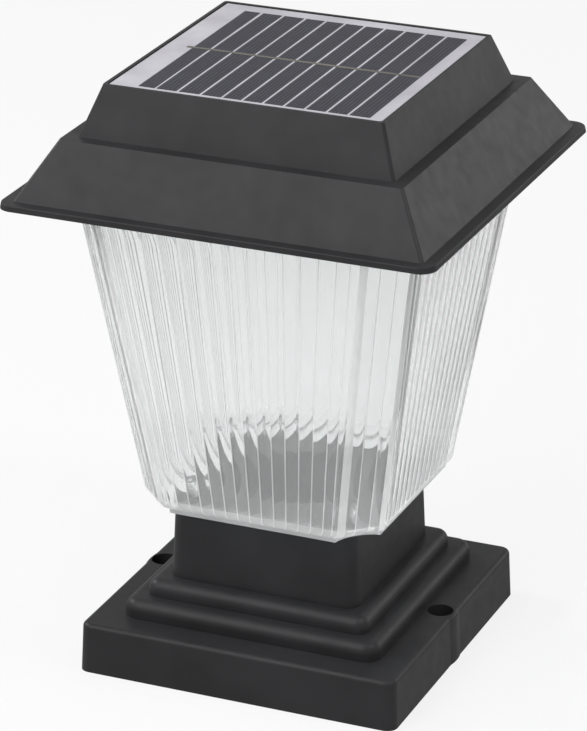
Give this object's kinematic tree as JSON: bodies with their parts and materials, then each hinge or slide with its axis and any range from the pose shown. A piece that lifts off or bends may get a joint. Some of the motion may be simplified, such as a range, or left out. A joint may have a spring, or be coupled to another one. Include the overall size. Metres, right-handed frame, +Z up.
{
  "type": "deck post cap light",
  "caption": "Solar post cap light: square stepped base, flared clear fluted lens, and a two-tier lift-off roof with a solar panel, lamp and battery.",
  "frame": {"origin": "middle of the base's bottom edge, on the face that rests on the post", "axes": "+Z up along the post, -Y the face at the left in the picture, +X the face with the screw recess at the right"},
  "size_m": [0.1808, 0.1808, 0.2504],
  "materials": {
    "black_plastic": "fine grain, satin",
    "clear_lens": "clear, slightly milky, fluted",
    "white_board": "smooth white",
    "solar_cell": "slate grey with fine silver finger lines",
    "clear_resin": "clear, glossy",
    "tinned_ribbon": "rough solder",
    "screw_steel": "zinc plated",
    "foam": "closed-cell foam",
    "circuit_board": "green solder mask",
    "lamp_board": "white solder mask",
    "chip_resin": "black moulded resin",
    "ferrite": "dark ferrite",
    "capacitor_can": "drawn can",
    "lamp_resin": "yellow lamp gel in a white frame",
    "frosted_plastic": "frosted",
    "battery_wrap": "shrink-wrapped steel can",
    "spring_nickel": "nickel plated",
    "red_insulation": "smooth",
    "black_insulation": "smooth",
    "sealant": "set silicone"
  },
  "bodies": {
    "base": {"base_moulding": "black_plastic", "lens_shade": "clear_lens", "lens_screws": "screw_steel"},
    "head": {"roof_shell": "black_plastic", "panel_tape": "foam", "panel_backing": "white_board", "solar_cells": "solar_cell", "bus_ribbon": "tinned_ribbon", "panel_cover": "clear_resin", "lead_sealant": "sealant", "inner_tray": "black_plastic", "tray_screws": "screw_steel", "lens_gasket": "foam", "controller_board": "circuit_board", "board_screws": "screw_steel", "controller_chip": "chip_resin", "choke_coil": "ferrite", "board_capacitors": "capacitor_can", "switch_body": "chip_resin", "led_board": "lamp_board", "led_emitters": "lamp_resin", "led_diffuser": "frosted_plastic", "battery_cell": "battery_wrap", "positive_contact": "spring_nickel", "negative_contact": "spring_nickel", "battery_spring": "spring_nickel", "panel_lead_red": "red_insulation", "panel_lead_black": "black_insulation", "led_lead_red": "red_insulation", "led_lead_black": "black_insulation", "battery_lead_red": "red_insulation", "battery_lead_black": "black_insulation"},
    "battery_door": {"battery_door": "black_plastic"},
    "switch_knob": {"switch_knob": "black_plastic"}
  },
  "joints": [
    {"name": "head_lift", "type": "slide", "parent": "base", "child": "head", "axis": [0, 0, 1], "range_m": [0, 0.06]},
    {"name": "battery_door_hinge", "type": "hinge", "parent": "head", "child": "battery_door", "pos_m": [0, 0.0411, 0.2118], "axis": [1, 0, 0], "range_deg": [0, 100]},
    {"name": "switch_slide", "type": "slide", "parent": "head", "child": "switch_knob", "axis": [1, 0, 0], "range_m": [0, 0.003]}
  ]
}
